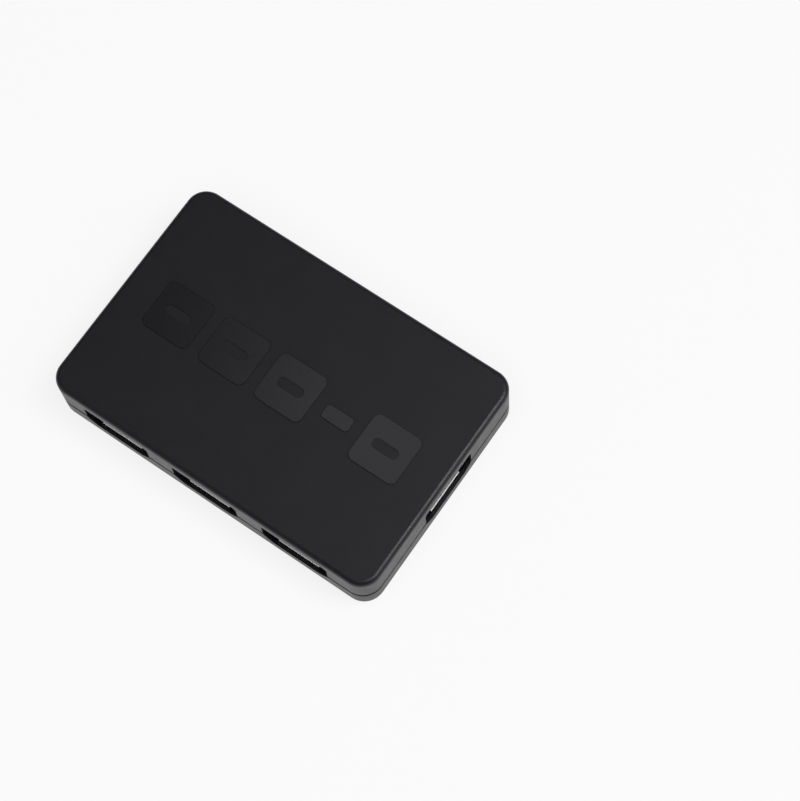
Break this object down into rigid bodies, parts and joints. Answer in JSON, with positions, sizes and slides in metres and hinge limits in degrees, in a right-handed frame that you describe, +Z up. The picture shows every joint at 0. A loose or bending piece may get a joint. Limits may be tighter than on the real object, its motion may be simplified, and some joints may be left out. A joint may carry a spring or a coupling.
{
  "type": "video switch box",
  "caption": "Flat rectangular black video switch box with input sockets on a long side, an output socket on a short side and a select button.",
  "frame": {"origin": "middle of the flat underside, where the diagonals of the case outline cross", "axes": "+X along the length towards the output socket, -Y towards the input sockets, +Z up"},
  "size_m": [0.0766, 0.0518, 0.0128],
  "materials": {
    "case_plastic": "matt moulded black plastic",
    "button_plastic": "satin black plastic",
    "window_plastic": "clear dark red plastic",
    "lamp_resin": "milky clear resin",
    "shell_steel": "nickel plated sheet steel",
    "socket_insulator": "black moulded insulator",
    "contact_gold": "gold plated",
    "board_laminate": "green solder mask",
    "chip_epoxy": "black moulding compound",
    "lead_tin": "tinned leads",
    "crystal_steel": "pressed can",
    "capacitor_can": "bare aluminium can",
    "base_plastic": "black plastic base",
    "chip_ceramic": "tan ceramic",
    "resistor_glaze": "dark glaze on ceramic",
    "switch_nylon": "black nylon",
    "plunger_plastic": "dark plastic",
    "dome_steel": "spring steel",
    "jack_plastic": "black moulded plastic",
    "screw_steel": "zinc plated",
    "receiver_resin": "dark resin"
  },
  "bodies": {
    "case": {"top_cover": "case_plastic", "bottom_cover": "case_plastic", "case_screws": "screw_steel", "switch_base": "switch_nylon", "switch_frame": "shell_steel", "switch_dome": "dome_steel", "switch_terminals": "lead_tin", "receiver_window": "window_plastic", "receiver": "receiver_resin", "receiver_leads": "lead_tin", "jack_body": "jack_plastic", "jack_pin": "shell_steel", "jack_contact": "shell_steel", "switch_chip": "chip_epoxy", "switch_chip_leads": "lead_tin", "controller_chip": "chip_epoxy", "controller_leads": "lead_tin", "memory_chips": "chip_epoxy", "memory_leads": "lead_tin", "regulator": "chip_epoxy", "regulator_leads": "lead_tin", "crystal_can": "crystal_steel", "crystal_base": "base_plastic", "can_capacitors": "capacitor_can", "can_bases": "base_plastic", "chip_capacitors": "chip_ceramic", "chip_resistors": "resistor_glaze", "surge_protectors": "chip_epoxy", "main_board": "board_laminate", "lamp_leads": "lead_tin", "lamp_1": "lamp_resin", "lamp_2": "lamp_resin", "lamp_3": "lamp_resin", "input_1_shell": "shell_steel", "input_1_insulator": "socket_insulator", "input_1_contacts": "contact_gold", "input_2_shell": "shell_steel", "input_2_insulator": "socket_insulator", "input_2_contacts": "contact_gold", "input_3_shell": "shell_steel", "input_3_insulator": "socket_insulator", "input_3_contacts": "contact_gold", "output_shell": "shell_steel", "output_insulator": "socket_insulator", "output_contacts": "contact_gold"},
    "select_key": {"select_button": "button_plastic", "switch_plunger": "plunger_plastic"}
  },
  "joints": [
    {"name": "select_press", "type": "slide", "parent": "case", "child": "select_key", "axis": [0, -1, 0], "range_m": [0, 0.00025], "stiffness_N_per_m": 6000, "deforming": ["switch_dome"]}
  ]
}
